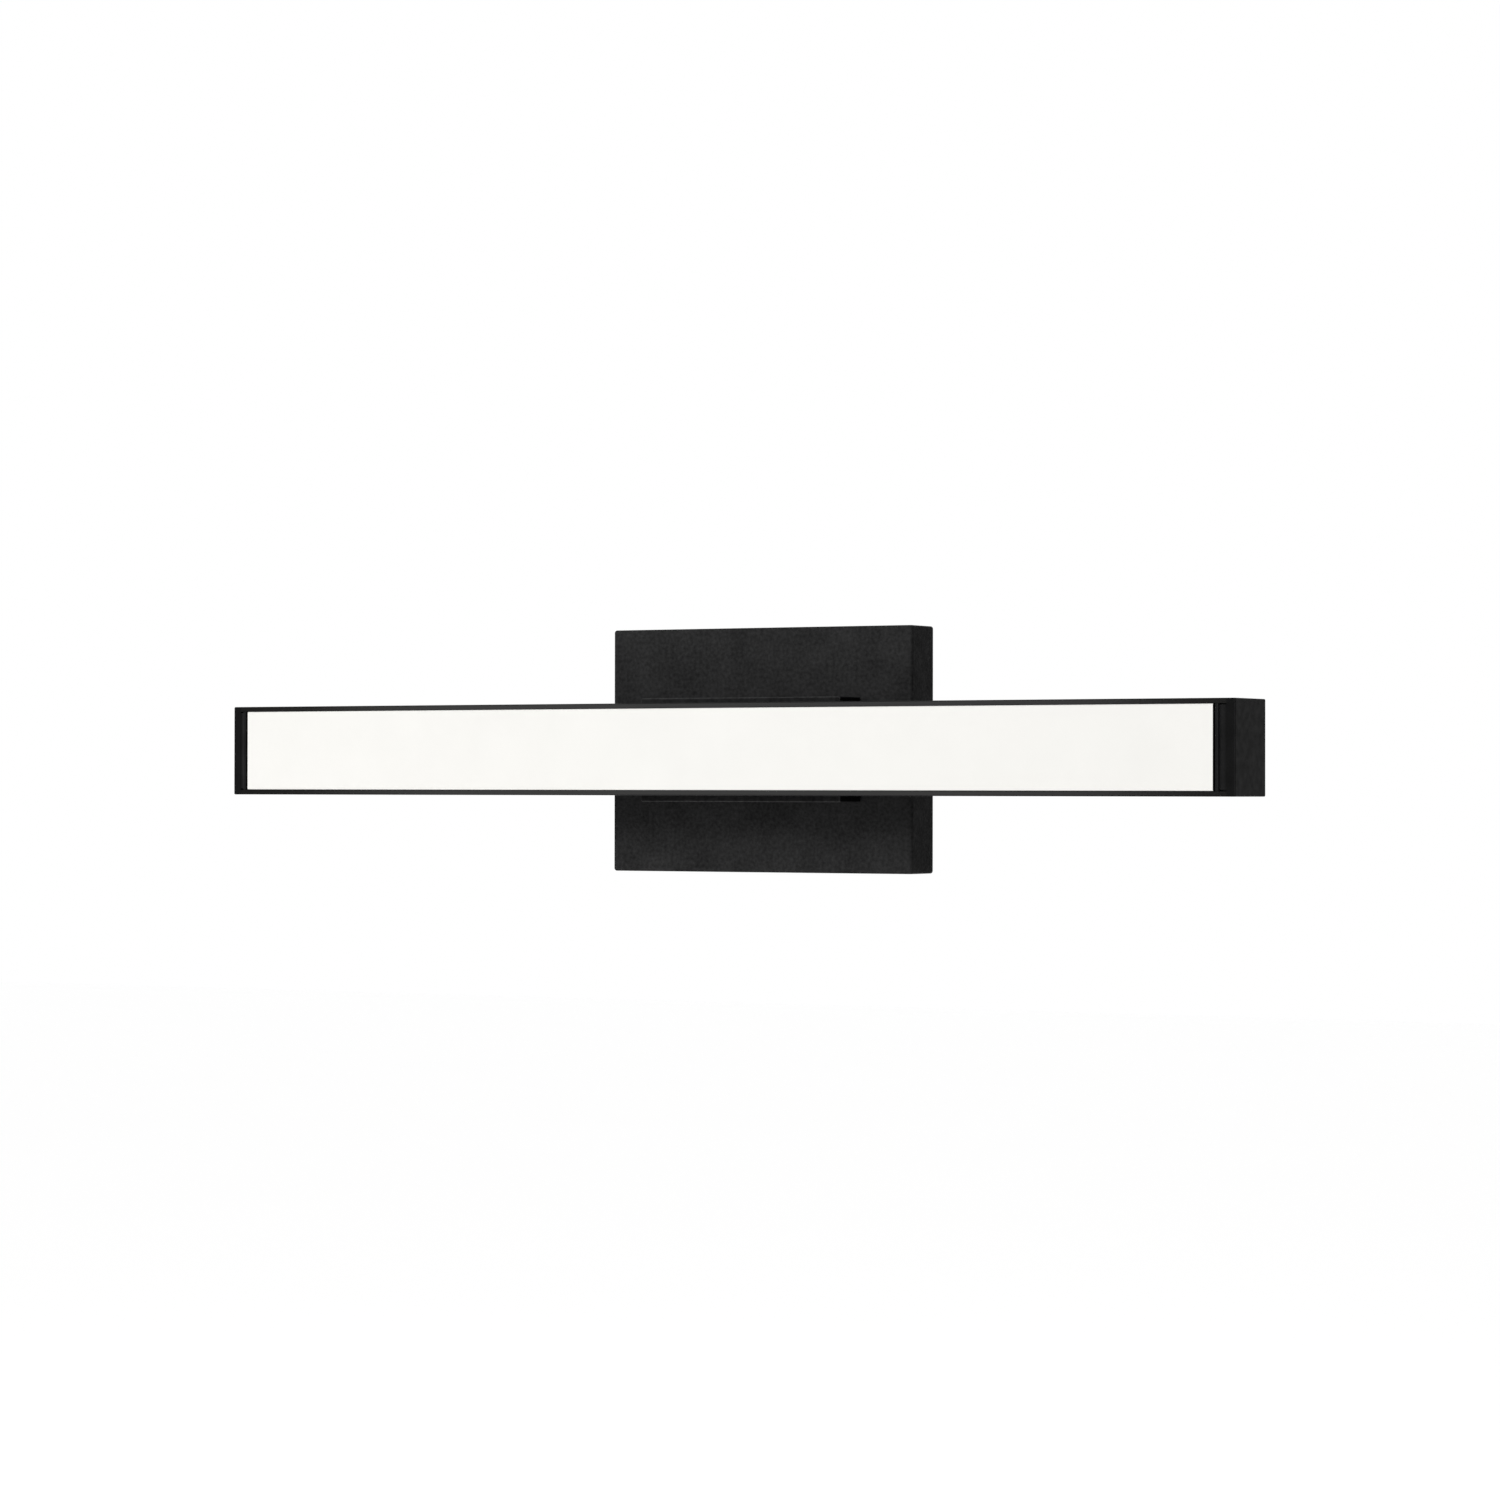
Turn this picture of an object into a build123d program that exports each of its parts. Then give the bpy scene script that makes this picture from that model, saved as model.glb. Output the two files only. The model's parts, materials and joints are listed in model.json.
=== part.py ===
from build123d import *
import math
import os

# Vanity light bar for a wall box. Millimetres.
# X runs along the bar, Z is up, the wall is the plane Y = 0 and the light faces -Y.
# "Depth" is the distance out from the wall, so a point at depth d has Y = -d.

# ---------------------------------------------------------------- driving dimensions

# Light bar: extruded housing, caps and diffuser
bar_length = 609.6
bar_height = 49.0
bar_depth = 38.0
bar_edge_radius = 0.4
housing_wall = 1.8
housing_rear_wall = 2.2
rail_thickness = 2.6
rail_length = 11.0
snap_groove_depth = 0.9
snap_groove_width = 2.0
snap_groove_setback = 6.0
screw_rail_offset = 16.0
screw_rail_width = 7.0
screw_rail_height = 4.0
tray_setback = 12.0
tray_rib_height = 2.2
tray_rib_thickness = 1.2
cap_flange = 4.7
cap_edge_radius = 0.7
cap_spigot = 5.1
cap_pocket_wall = 2.6
cap_shadow_gap = 0.8
cap_shadow_depth = 1.5
cap_nose_thickness = 1.4
cap_tongue_length = 14.0
cap_tongue_width = 22.0
cap_screw_offset = 6.0
diffuser_thickness = 2.0
diffuser_proud = 2.2
diffuser_leg = 1.5
diffuser_leg_length = 9.0
diffuser_end_gap = 1.0
diffuser_corner_radius = 0.8

# LED board, its tray and the reflector
tray_thickness = 1.5
board_width = 20.0
board_thickness = 1.6
board_end_margin = 6.0
led_length = 3.5
led_width = 2.8
led_height = 0.8
led_pitch = 9.5
board_screw_count = 6
board_screw_offset = 5.5
board_screw_end_margin = 12.0
connector_length = 9.0
connector_width = 6.0
connector_flange = 1.0
connector_tail = 3.0
reflector_sheet = 0.8
reflector_window = 17.2
reflector_foot = 2.4
reflector_bridge = 5.0

# Wall canopy and standoff block
canopy_width = 185.0
canopy_height = 132.0
canopy_depth = 24.0
canopy_sheet = 1.2
canopy_edge_radius = 1.5
standoff_width = 123.0
standoff_height = 56.0
standoff_depth = 23.0
standoff_wall = 2.5
standoff_front_wall = 3.0
standoff_edge_radius = 1.2
boss_radius = 4.5
boss_inset = 6.0
boss_hole_depth = 12.0
bar_screw_spacing = 60.0

# Mounting strap: its slots take wall-box screws at the narrow and at the wide spacing
box_screws_narrow = 69.85
box_screws_wide = 88.9
box_screw_hole_radius = 2.4
strap_width = 22.0
strap_thickness = 1.6
strap_tab_margin = 5.0
strap_tab_corner_radius = 3.0
strap_bend_radius = 2.2
nipple_hole_radius = 5.1
strap_ground_x = 18.0

# LED driver
driver_length = 96.0
driver_width = 32.0
driver_height = 17.0
driver_wall = 1.5
driver_side_gap = 17.3
driver_top_gap = 1.8
driver_ear_length = 9.0
driver_ear_thickness = 2.0
driver_post_height = 2.0
driver_post_radius = 1.6
driver_lead_setback = 4.2
input_lead_offsets = (-1.0, 4.0)
output_lead_offset = -11.5
driver_cover_rim = 1.0
header_length = 6.0
header_end_gap = 2.25
choke_length = 10.0
choke_width = 12.0
choke_height = 8.0
choke_gap = 5.0
capacitor_radius = 4.0
capacitor_height = 9.5
capacitor_gap = 2.5
transformer_length = 18.0
transformer_width = 16.0
transformer_height = 10.0

# Terminal block, earth stud and leads
terminal_side_gap = 24.3
terminal_bottom_gap = 12.0
terminal_poles = 3
terminal_pitch = 8.0
terminal_width = 17.0
terminal_height = 13.0
terminal_end_wall = 1.0
terminal_corner_radius = 1.0
terminal_well_radius = 2.0
terminal_screw_spacing = 8.5
terminal_screw_radius = 1.3
terminal_screw_length = 3.6
terminal_slot_width = 0.5
terminal_slot_depth = 0.65
terminal_barrel_radius = 2.2
terminal_barrel_length = 13.0
terminal_ear_length = 8.0
terminal_ear_thickness = 2.4
ground_stud_x = -14.0
ground_stud_z = -17.0
lug_ring_radius = 4.2
lug_thickness = 0.8
lug_barrel_radius = 1.8
lug_barrel_length = 6.0
lug_neck_width = 2.9
supply_lead_radius = 1.0
led_lead_radius = 0.8
led_lead_spacing = 2.5
canopy_entry_x = 45.0
canopy_entry_z = 18.0
bar_entry_x = 45.0
bar_entry_z = 5.5
bushing_hole_radius = 4.75
bushing_bore_radius = 3.0
bushing_flange = 1.2
bushing_flange_width = 1.2

# Fasteners: shank radius, head radius, head height; the shares are parts of those head sizes
m3_radius = 1.5
m3_head_radius = 2.7
m3_head_height = 1.9
m4_radius = 2.0
m4_head_radius = 3.8
m4_head_height = 2.4
m3_nut_width = 5.5
m3_nut_height = 2.4
m4_nut_width = 7.0
m4_nut_height = 3.2
m3_stud_length = 7.0
m4_stud_length = 8.0
standoff_screw_length = 9.0
bar_screw_length = 8.0
board_screw_length = 5.0
cap_screw_length = 8.0
side_screw_length = 5.0
head_chamfer_share = 0.35
recess_length_share = 1.1
recess_width_share = 0.26
recess_depth_share = 0.55
hex_socket_radius = 1.0
hex_socket_depth = 1.2

# Fits: gap left on each side
slide_clearance = 0.3
plug_clearance = 0.2
screw_clearance = 0.2
thread_clearance = 0.05
lead_hole_clearance = 0.3
sharp_inner_radius = 0.2
bend_share = 0.45

# ---------------------------------------------------------------- derived places

standoff_rear = canopy_depth
bar_rear = standoff_rear + standoff_depth
bar_front = bar_rear + bar_depth
canopy_floor = canopy_depth - canopy_sheet
standoff_floor = bar_rear - standoff_front_wall
canopy_inner_width = canopy_width - 2 * canopy_sheet
canopy_inner_top = canopy_height / 2 - canopy_sheet

housing_length = bar_length - 2 * cap_flange
housing_floor = bar_rear + housing_rear_wall
housing_inner_half = bar_height / 2 - housing_wall
rail_inner_half = bar_height / 2 - rail_thickness
groove_front = bar_front - snap_groove_setback
groove_rear = groove_front - snap_groove_width

tray_rear = bar_rear + tray_setback
tray_front = tray_rear + tray_thickness
tray_half_width = housing_inner_half - slide_clearance
tray_length = housing_length - 2 * (cap_spigot + slide_clearance)
board_front = tray_front + board_thickness
board_length = tray_length - 2 * board_end_margin
diffuser_length = housing_length - 2 * (cap_spigot + diffuser_end_gap)
diffuser_half = rail_inner_half - plug_clearance
diffuser_rear = bar_front - diffuser_leg_length
diffuser_front = bar_front + diffuser_proud
cap_screw_x = housing_length / 2 - (cap_spigot + cap_tongue_length) / 2

boss_x = standoff_width / 2 - boss_inset
boss_z = standoff_height / 2 - boss_inset
side_screw_depth = canopy_depth / 2
strap_half = canopy_inner_width / 2 - slide_clearance
slot_spacing = (box_screws_narrow + box_screws_wide) / 2
slot_length = (box_screws_wide - box_screws_narrow) / 2 + 2 * box_screw_hole_radius

driver_left = -canopy_inner_width / 2 + driver_side_gap
driver_right = driver_left + driver_length
driver_top = canopy_inner_top - driver_top_gap
driver_bottom = driver_top - driver_width
driver_middle_z = (driver_top + driver_bottom) / 2
driver_rear = canopy_floor - driver_height
driver_cover_front = driver_rear + driver_wall
driver_board_front = canopy_floor - driver_wall - driver_post_height
driver_board_rear = driver_board_front - board_thickness
driver_lead_depth = driver_rear + driver_lead_setback
input_lead_heights = [driver_middle_z + offset for offset in input_lead_offsets]
output_lead_height = driver_middle_z + output_lead_offset
driver_studs = [driver_left - driver_ear_length / 2, driver_right + driver_ear_length / 2]

terminal_half = terminal_poles * terminal_pitch / 2 + terminal_end_wall
terminal_x = -canopy_inner_width / 2 + terminal_side_gap + terminal_half
terminal_bottom = -canopy_inner_top + terminal_bottom_gap
terminal_top = terminal_bottom + terminal_width
terminal_middle_z = (terminal_top + terminal_bottom) / 2
terminal_entry_depth = canopy_floor - terminal_height / 2
terminal_studs = [terminal_x + side * (terminal_half + terminal_ear_length / 2) for side in (-1, 1)]
lug_barrel_depth = canopy_floor - lug_barrel_radius
ground_lug_entry_x = ground_stud_x - lug_ring_radius - lug_barrel_length


# ---------------------------------------------------------------- shared forms

def at_depth(depth):
    """Plane parallel to the wall, seen from the front: local x is X, local y is Z."""
    return Plane.XZ.offset(depth)


def facing_wall(depth):
    """The same plane turned round, so that its normal points back to the wall."""
    return Plane(origin=(0, -depth, 0), x_dir=(1, 0, 0), z_dir=(0, 1, 0))


def block(x_range, depth_range, z_range):
    """Rectangular block between two X, two depths and two Z."""
    (x0, x1), (d0, d1), (z0, z1) = x_range, depth_range, z_range
    return Pos((x0 + x1) / 2, -(d0 + d1) / 2, (z0 + z1) / 2) * Box(x1 - x0, d1 - d0, z1 - z0)


def rod(radius, x, z, start_depth, end_depth):
    """Round bar, or the cutter of a round hole, that runs out from the wall at X, Z."""
    middle = (start_depth + end_depth) / 2
    return at_depth(middle) * Pos(x, z) * Cylinder(radius, end_depth - start_depth)


def section(depth_range, z_range):
    """Rectangle in the bar's cross-section."""
    (d0, d1), (z0, z1) = depth_range, z_range
    return Pos(-(d0 + d1) / 2, (z0 + z1) / 2) * Rectangle(d1 - d0, z1 - z0)


def along_bar(profile, length):
    """Extrude a cross-section along X, centred on the bar."""
    return extrude(Plane.YZ * profile, length / 2, both=True)


def open_box(width, height, rear, front, wall, front_wall, radius):
    """Box that is open towards the wall, with rounded corners and front edges."""
    outer = block((-width / 2, width / 2), (rear, front), (-height / 2, height / 2))
    front_edges = outer.faces().sort_by(Axis.Y)[0].edges()
    outer = fillet(front_edges + outer.edges().filter_by(Axis.Y), radius)
    half_width, half_height = width / 2 - wall, height / 2 - wall
    inner = block((-half_width, half_width), (rear, front - front_wall), (-half_height, half_height))
    return outer - fillet(inner.edges().filter_by(Axis.Y), max(radius - wall, sharp_inner_radius))


def corners(x, z):
    return [(sx * x, sz * z) for sx in (-1, 1) for sz in (-1, 1)]


def pan_screw(radius, head_radius, head_height, length):
    """Pan-head screw: shank along +z, underside of the head at z = 0."""
    head = Pos(0, 0, -head_height / 2) * Cylinder(head_radius, head_height)
    head = chamfer(head.edges().group_by(Axis.Z)[0], head_height * head_chamfer_share)
    return head + Pos(0, 0, length / 2) * Cylinder(radius, length)


def cross_recess(head_radius, head_height):
    """Cutter for the driver's cross in the top of a pan head."""
    arm, width = head_radius * recess_length_share, head_radius * recess_width_share
    depth = head_height * recess_depth_share
    return Pos(0, 0, -head_height + depth / 2) * (Box(arm, width, depth) + Box(width, arm, depth))


def countersunk_screw(radius, head_radius, length):
    """Flat-head screw: top of the head at z = 0, shank along +z."""
    cone_height = head_radius - radius
    cone = Pos(0, 0, cone_height / 2) * Cone(head_radius, radius, cone_height)
    socket = extrude(RegularPolygon(hex_socket_radius, 6), hex_socket_depth)
    return cone + Pos(0, 0, length / 2) * Cylinder(radius, length) - socket


def hex_nut(width, height, bore_radius):
    """Nut that stands on z = 0."""
    outline = RegularPolygon(width / 2, 6, major_radius=False) - Circle(bore_radius)
    return extrude(outline, height)


def group(solids):
    return Compound(children=list(solids))


def snap_bushing(x, z, panel_rear, panel_front):
    """Flanged ring that lines a round hole through a panel: flange behind it, snap lip in front."""
    flange_radius = bushing_hole_radius + bushing_flange_width
    lip_radius = bushing_hole_radius + bushing_flange_width / 2
    barrel_radius = bushing_hole_radius - lead_hole_clearance / 2
    bushing = rod(flange_radius, x, z, panel_rear - bushing_flange, panel_rear)
    bushing += rod(barrel_radius, x, z, panel_rear, panel_front)
    lip = at_depth(panel_front + bushing_flange / 2) * Pos(x, z)
    bushing += lip * Cone(lip_radius, barrel_radius, bushing_flange)
    bore_depth = (panel_rear - bushing_flange, panel_front + bushing_flange)
    return bushing - rod(bushing_bore_radius, x, z, *bore_depth)


# ---------------------------------------------------------------- wall side

def make_mounting_strap():
    """Strip across the wall box, with a tapped tab turned forward at each end."""
    tab_length = side_screw_depth + strap_tab_margin
    outer = Pos(0, -tab_length / 2) * Rectangle(2 * strap_half, tab_length)
    outer = fillet(outer.vertices().group_by(Axis.Y)[-1], strap_bend_radius)
    inner_depth = tab_length - strap_thickness
    inner_width = 2 * (strap_half - strap_thickness)
    inner = Pos(0, -tab_length + inner_depth / 2) * Rectangle(inner_width, inner_depth)
    inner = fillet(inner.vertices().group_by(Axis.Y)[-1], strap_bend_radius - strap_thickness)
    strap = extrude(outer - inner, strap_width / 2, both=True)
    tab_corners = strap.edges().filter_by(Axis.X).group_by(Axis.Y)[0]
    strap = fillet(tab_corners, strap_tab_corner_radius)
    for side in (-1, 1):
        slot = extrude(SlotOverall(slot_length, 2 * box_screw_hole_radius), strap_thickness)
        strap -= at_depth(0) * Pos(side * slot_spacing / 2, 0) * slot
    strap -= rod(nipple_hole_radius, 0, 0, 0, strap_thickness)
    strap -= rod(m4_radius + thread_clearance, strap_ground_x, 0, 0, strap_thickness)
    side_hole = Cylinder(m4_radius + thread_clearance, 2 * strap_half, rotation=(0, 90, 0))
    return strap - Pos(0, -side_screw_depth, 0) * side_hole


def make_canopy_pan():
    """Sheet-steel pan that covers the wall box, with weld studs on the inside of its front."""
    pan = open_box(canopy_width, canopy_height, 0, canopy_depth,
                   canopy_sheet, canopy_sheet, canopy_edge_radius)
    side_hole = Cylinder(m4_radius + screw_clearance, canopy_width, rotation=(0, 90, 0))
    pan -= Pos(0, -side_screw_depth, 0) * side_hole
    for x, z in corners(boss_x, boss_z):
        pan -= rod(m4_radius + screw_clearance, x, z, canopy_floor, canopy_depth)
    pan -= rod(bushing_hole_radius, canopy_entry_x, canopy_entry_z, canopy_floor, canopy_depth)
    m3_studs = [(x, driver_middle_z) for x in driver_studs]
    m3_studs += [(x, terminal_middle_z) for x in terminal_studs]
    for x, z in m3_studs:
        pan += rod(m3_radius, x, z, canopy_floor - m3_stud_length, canopy_floor)
    pan += rod(m4_radius, ground_stud_x, ground_stud_z, canopy_floor - m4_stud_length, canopy_floor)
    return pan


def make_canopy_side_screws():
    """Two dome screws, from outside the pan into the strap's tabs."""
    screw = pan_screw(m4_radius, m4_head_radius, m4_head_height, side_screw_length)
    screw -= cross_recess(m4_head_radius, m4_head_height)
    right = Plane(origin=(canopy_width / 2, -side_screw_depth, 0), x_dir=(0, 1, 0), z_dir=(-1, 0, 0)) * screw
    return group([right, mirror(right, Plane.YZ)])


def make_strap_ground_screw():
    screw = pan_screw(m4_radius, m4_head_radius, m4_head_height, strap_thickness)
    return facing_wall(strap_thickness) * Pos(strap_ground_x, 0) * screw


def make_standoff_block():
    """Cast spacer between pan and bar: closed front, corner bosses tapped from the rear."""
    standoff = open_box(standoff_width, standoff_height, standoff_rear, bar_rear,
                        standoff_wall, standoff_front_wall, standoff_edge_radius)
    for x, z in corners(boss_x, boss_z):
        standoff += rod(boss_radius, x, z, standoff_rear, standoff_floor)
    for x, z in corners(boss_x, boss_z):
        standoff -= rod(m4_radius + thread_clearance, x, z, standoff_rear, standoff_rear + boss_hole_depth)
    for x, z in corners(bar_screw_spacing / 2, screw_rail_offset):
        standoff -= rod(m4_radius + screw_clearance, x, z, standoff_floor, bar_rear)
    return standoff - rod(bushing_hole_radius, bar_entry_x, bar_entry_z, standoff_floor, bar_rear)


def make_standoff_screws():
    screw = pan_screw(m4_radius, m4_head_radius, m4_head_height, standoff_screw_length)
    return group(at_depth(canopy_floor) * Pos(x, z) * screw for x, z in corners(boss_x, boss_z))


def make_bar_screws():
    screw = pan_screw(m4_radius, m4_head_radius, m4_head_height, bar_screw_length)
    places = corners(bar_screw_spacing / 2, screw_rail_offset)
    return group(at_depth(standoff_floor) * Pos(x, z) * screw for x, z in places)


# ---------------------------------------------------------------- light bar

def housing_cavity():
    """What the extrusion's profile leaves free inside: open at the front, between the rails."""
    cavity = section((housing_floor, bar_front - rail_length), (-housing_inner_half, housing_inner_half))
    cavity += section((housing_floor, bar_front), (-rail_inner_half, rail_inner_half))
    groove_half = rail_inner_half + snap_groove_depth
    cavity += section((groove_rear, groove_front), (-groove_half, groove_half))
    rib_gaps = ((tray_rear - slide_clearance - tray_rib_thickness, tray_rear - slide_clearance),
                (tray_front + slide_clearance, tray_front + slide_clearance + tray_rib_thickness))
    for side in (-1, 1):
        rail_z = sorted(side * (screw_rail_offset + end * screw_rail_width / 2) for end in (-1, 1))
        cavity -= section((housing_floor, housing_floor + screw_rail_height), rail_z)
        rib_z = sorted((side * housing_inner_half, side * (housing_inner_half - tray_rib_height)))
        for rib_depth in rib_gaps:
            cavity -= section(rib_depth, rib_z)
    return cavity


def make_bar_housing():
    """Extruded channel: front rails with snap grooves, tray grooves and two solid screw rails."""
    outline = section((bar_rear, bar_front), (-bar_height / 2, bar_height / 2))
    outline = fillet(outline.vertices(), bar_edge_radius)
    housing = along_bar(outline - housing_cavity(), housing_length)
    for x, z in corners(bar_screw_spacing / 2, screw_rail_offset):
        housing -= rod(m4_radius + thread_clearance, x, z, bar_rear, housing_floor + screw_rail_height)
    head_radius = m3_head_radius + screw_clearance
    cone_height = m3_head_radius - m3_radius
    for x, z in corners(cap_screw_x, cap_screw_offset):
        housing -= rod(m3_radius + screw_clearance, x, z, bar_rear, housing_floor)
        countersink = Cone(head_radius, m3_radius + screw_clearance, cone_height)
        housing -= at_depth(bar_rear + cone_height / 2) * Pos(x, z) * countersink
    return housing - rod(bushing_hole_radius, bar_entry_x, bar_entry_z, bar_rear, housing_floor)


def make_end_cap(side):
    """Cap for one end: outer flange, spigot that plugs the profile, and a tongue for the two screws.

    A nose on the spigot closes the proud end of the diffuser, and a rebate along each rail leaves a
    shadow line.
    """
    outline = section((bar_rear, bar_front), (-bar_height / 2, bar_height / 2))
    flange = extrude(Plane.YZ.offset(housing_length / 2) * outline, cap_flange)
    outer_face = flange.faces().sort_by(Axis.X)[-1]
    flange = fillet(outer_face.edges() + flange.edges().filter_by(Axis.X), cap_edge_radius)
    plug = offset(housing_cavity(), amount=-plug_clearance, kind=Kind.INTERSECTION)
    cap = flange + extrude(Plane.YZ.offset(housing_length / 2 - cap_spigot) * plug, cap_spigot)
    spigot_end = housing_length / 2 - cap_spigot
    pocket_half = rail_inner_half - plug_clearance - cap_pocket_wall
    cap -= block((spigot_end, spigot_end + cap_spigot - cap_pocket_wall),
                 (tray_front + cap_pocket_wall, bar_front - plug_clearance - cap_pocket_wall),
                 (-pocket_half, pocket_half))
    for side_z in (-1, 1):
        rebate_z = sorted((side_z * rail_inner_half, side_z * (rail_inner_half - cap_shadow_gap)))
        cap -= block((spigot_end, housing_length / 2), (bar_front - cap_shadow_depth, bar_front), rebate_z)
    nose_depth = (bar_front - cap_pocket_wall, diffuser_front)
    cap += block((spigot_end, spigot_end + cap_nose_thickness), nose_depth, (-diffuser_half, diffuser_half))
    tongue_depth = (housing_floor + plug_clearance, tray_rear - slide_clearance)
    cap += block((spigot_end - cap_tongue_length, spigot_end), tongue_depth,
                 (-cap_tongue_width / 2, cap_tongue_width / 2))
    for z in (-cap_screw_offset, cap_screw_offset):
        cap -= rod(m3_radius + thread_clearance, cap_screw_x, z, *tongue_depth)
    return cap if side > 0 else mirror(cap, Plane.YZ)


def make_end_cap_screws():
    """Flat-head screws through the housing's rear wall into the caps' tongues."""
    screw = countersunk_screw(m3_radius, m3_head_radius, cap_screw_length)
    return group(at_depth(bar_rear) * Pos(x, z) * screw for x, z in corners(cap_screw_x, cap_screw_offset))


def make_led_tray():
    """Plate that slides in the housing's grooves and carries the LED board."""
    tray = block((-tray_length / 2, tray_length / 2), (tray_rear, tray_front),
                 (-tray_half_width, tray_half_width))
    for x in board_screw_places():
        tray -= rod(m3_radius + thread_clearance, x, -board_screw_offset, tray_rear, tray_front)
    return tray - connector_opening(tray_rear, tray_front)


def connector_opening(start_depth, end_depth):
    half_length = connector_length / 2 + screw_clearance
    half_width = connector_width / 2 + screw_clearance
    return block((bar_entry_x - half_length, bar_entry_x + half_length), (start_depth, end_depth),
                 (bar_entry_z - half_width, bar_entry_z + half_width))


def board_screw_places():
    span = board_length - 2 * board_screw_end_margin
    return [span * (i / (board_screw_count - 1) - 0.5) for i in range(board_screw_count)]


def make_led_board():
    half_length, half_width = board_length / 2, board_width / 2
    board = block((-half_length, half_length), (tray_front, board_front), (-half_width, half_width))
    for x in board_screw_places():
        board -= rod(m3_radius + screw_clearance, x, -board_screw_offset, tray_front, board_front)
    return board - connector_opening(tray_front, board_front)


def make_board_screws():
    screw = pan_screw(m3_radius, m3_head_radius, m3_head_height, board_screw_length)
    places = board_screw_places()
    return group(facing_wall(board_front) * Pos(x, board_screw_offset) * screw for x in places)


def make_led_packages():
    """Row of LEDs along the middle of the board, evenly spaced between the reflector's bridges."""
    free_length = min(board_length, diffuser_length - 2 * reflector_bridge) - led_length
    gaps = int(free_length / led_pitch) - 1
    places = [(i - gaps / 2) * led_pitch for i in range(gaps + 1)]
    package = block((-led_length / 2, led_length / 2), (board_front, board_front + led_height),
                    (-led_width / 2, led_width / 2))
    return group(Pos(x, 0, 0) * package for x in places)


def make_board_connector():
    """Through-board connector: flange on the board's front, body through board and tray."""
    half_length, half_width = connector_length / 2, connector_width / 2
    body_rear = tray_rear - connector_tail
    x_range = (bar_entry_x - half_length, bar_entry_x + half_length)
    z_range = (bar_entry_z - half_width, bar_entry_z + half_width)
    connector = block(x_range, (body_rear, board_front), z_range)
    rim_x = (x_range[0] - connector_flange, x_range[1] + connector_flange)
    connector += block(rim_x, (board_front, board_front + connector_flange), z_range)
    for side in (-1, 1):
        entry_z = bar_entry_z + side * led_lead_spacing / 2
        connector -= rod(led_lead_radius + thread_clearance, bar_entry_x, entry_z, body_rear, tray_rear)
    return connector


def make_reflector():
    """White trough: two sloping wings on flat feet, joined by a bridge at each end."""
    foot_edge = reflector_window / 2 + reflector_foot
    wing_front = diffuser_rear - slide_clearance
    wing_edge = diffuser_half - diffuser_leg / 2
    slope = math.hypot(wing_front - board_front, wing_edge - foot_edge)
    across = reflector_sheet * slope / (wing_front - board_front)
    wings = Sketch()
    for side in (-1, 1):
        foot = sorted((side * reflector_window / 2, side * foot_edge))
        wings += section((board_front, board_front + reflector_sheet), foot)
        outside = [(-board_front, side * foot_edge), (-wing_front, side * wing_edge)]
        inside = [(-wing_front, side * (wing_edge - across)), (-board_front, side * (foot_edge - across))]
        wings += make_face(Polyline(*outside, *inside, close=True))
    reflector = along_bar(wings, diffuser_length)
    for side in (-1, 1):
        bridge_x = sorted((side * diffuser_length / 2, side * (diffuser_length / 2 - reflector_bridge)))
        reflector += block(bridge_x, (board_front, board_front + reflector_sheet),
                           (-reflector_window / 2, reflector_window / 2))
    return reflector


def make_diffuser():
    """Opal channel: front plate proud of the rails, and legs whose hooks snap into the grooves."""
    plate_rear = diffuser_front - diffuser_thickness
    profile = section((plate_rear, diffuser_front), (-diffuser_half, diffuser_half))
    profile = fillet(profile.vertices().group_by(Axis.X)[0], diffuser_corner_radius)
    hook_depth = (groove_rear + plug_clearance, groove_front - plug_clearance)
    hook_tip = rail_inner_half + snap_groove_depth - plug_clearance
    for side in (-1, 1):
        leg = sorted((side * diffuser_half, side * (diffuser_half - diffuser_leg)))
        profile += section((diffuser_rear, plate_rear), leg)
        profile += section(hook_depth, sorted((side * (diffuser_half - diffuser_leg), side * hook_tip)))
    return along_bar(profile, diffuser_length)


# ---------------------------------------------------------------- electrical parts in the canopy

def lead_hole(x_range, z, radius):
    """Hole along X through a wall of the driver's case."""
    length = x_range[1] - x_range[0]
    place = Pos(sum(x_range) / 2, -driver_lead_depth, z)
    return place * Cylinder(radius + lead_hole_clearance, length, rotation=(0, 90, 0))


def driver_post_places():
    inset = driver_wall + 3 * driver_post_radius
    return [(x, z) for x in (driver_left + inset, driver_right - inset)
            for z in (driver_bottom + inset, driver_top - inset)]


def make_driver_case():
    """Moulded tray on the pan's front, open to the wall side, with an ear at each end."""
    inner_x = (driver_left + driver_wall, driver_right - driver_wall)
    inner_z = (driver_bottom + driver_wall, driver_top - driver_wall)
    outer = block((driver_left, driver_right), (driver_cover_front, canopy_floor),
                  (driver_bottom, driver_top))
    outer = fillet(outer.edges().filter_by(Axis.Y), driver_wall)
    case = outer - block(inner_x, (driver_cover_front, canopy_floor - driver_wall), inner_z)
    for x, z in driver_post_places():
        case += rod(driver_post_radius, x, z, driver_board_front, canopy_floor - driver_wall)
    ear_half = driver_width / 4
    ear_depth = (canopy_floor - driver_ear_thickness, canopy_floor)
    for edge, side in ((driver_left, -1), (driver_right, 1)):
        ear_x = sorted((edge, edge + side * driver_ear_length))
        case += block(ear_x, ear_depth, (driver_middle_z - ear_half, driver_middle_z + ear_half))
    for x in driver_studs:
        case -= rod(m3_radius + screw_clearance, x, driver_middle_z, *ear_depth)
    for z in input_lead_heights:
        case -= lead_hole((driver_left, driver_left + driver_wall), z, supply_lead_radius)
    for side in (-1, 1):
        z = output_lead_height + side * led_lead_spacing / 2
        case -= lead_hole((driver_right - driver_wall, driver_right), z, led_lead_radius)
    return case


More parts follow.
